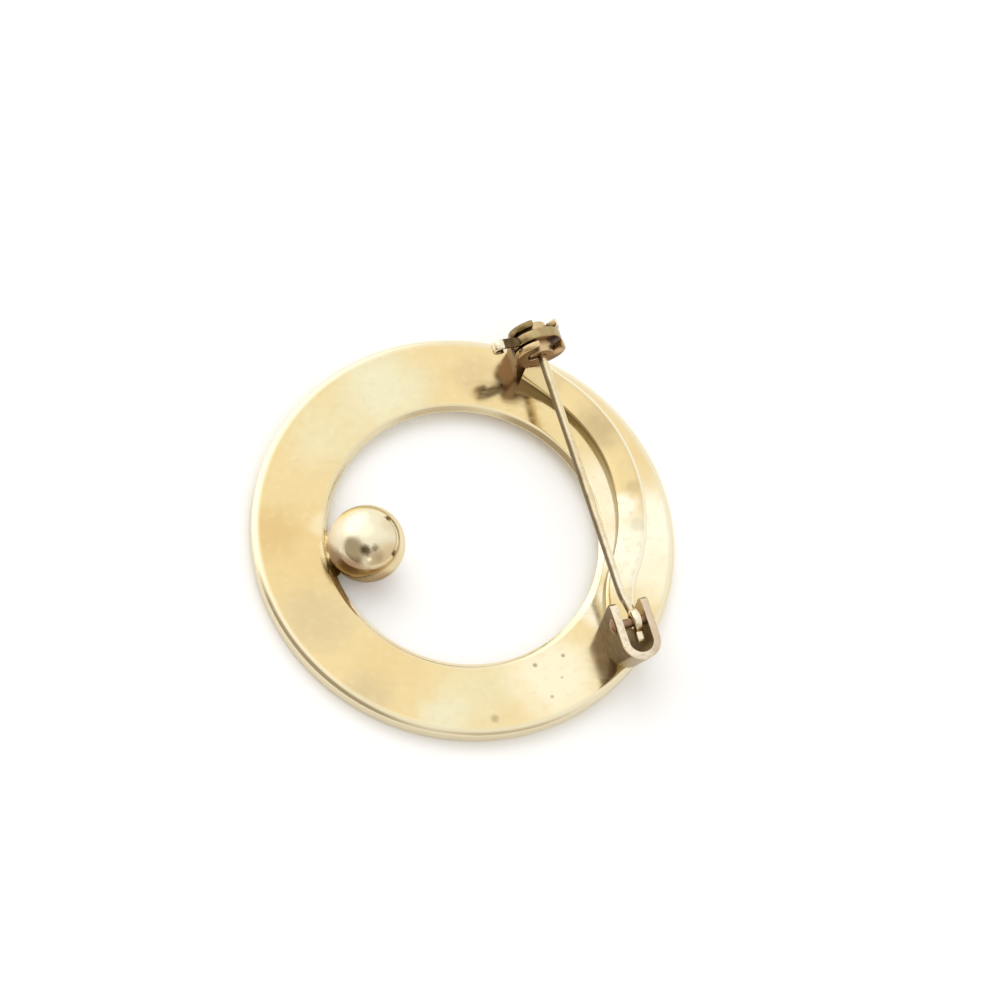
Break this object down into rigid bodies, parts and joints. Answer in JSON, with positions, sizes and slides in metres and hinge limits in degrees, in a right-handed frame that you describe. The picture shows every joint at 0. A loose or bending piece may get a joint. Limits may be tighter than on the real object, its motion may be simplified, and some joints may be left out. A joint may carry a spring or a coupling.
{
  "type": "circle brooch",
  "caption": "Flat ring brooch lying face down, with a ball at its inner edge, a curved back bar, a hinged pin stem and a turning safety catch.",
  "frame": {"origin": "middle of the ring on its front plane, which the brooch lies on", "axes": "+Z out of the back, where the pin work is; +Y towards the catch; +X towards the joint's side; the ball is near -X"},
  "size_m": [0.038, 0.038, 0.0085],
  "materials": {
    "polished_gold_tone": "polished, lightly tarnished",
    "pin_gold_tone": "polished",
    "catch_gold_tone": "satin, worn"
  },
  "bodies": {
    "brooch": {"brooch_body": "polished_gold_tone", "hinge_rivet": "catch_gold_tone"},
    "pin": {"pin_stem": "pin_gold_tone"},
    "rotor": {"catch_rotor": "catch_gold_tone"}
  },
  "joints": [
    {"name": "pin_hinge", "type": "hinge", "parent": "brooch", "child": "pin", "pos_m": [0.01395, -0.00965, 0.0062], "axis": [0.9624, 0.2716, 0], "range_deg": [0, 150]},
    {"name": "catch_turn", "type": "hinge", "parent": "brooch", "child": "rotor", "pos_m": [0.0064, 0.0171, 0.0062], "axis": [-0.2716, 0.9624, 0], "range_deg": [0, 100]}
  ]
}
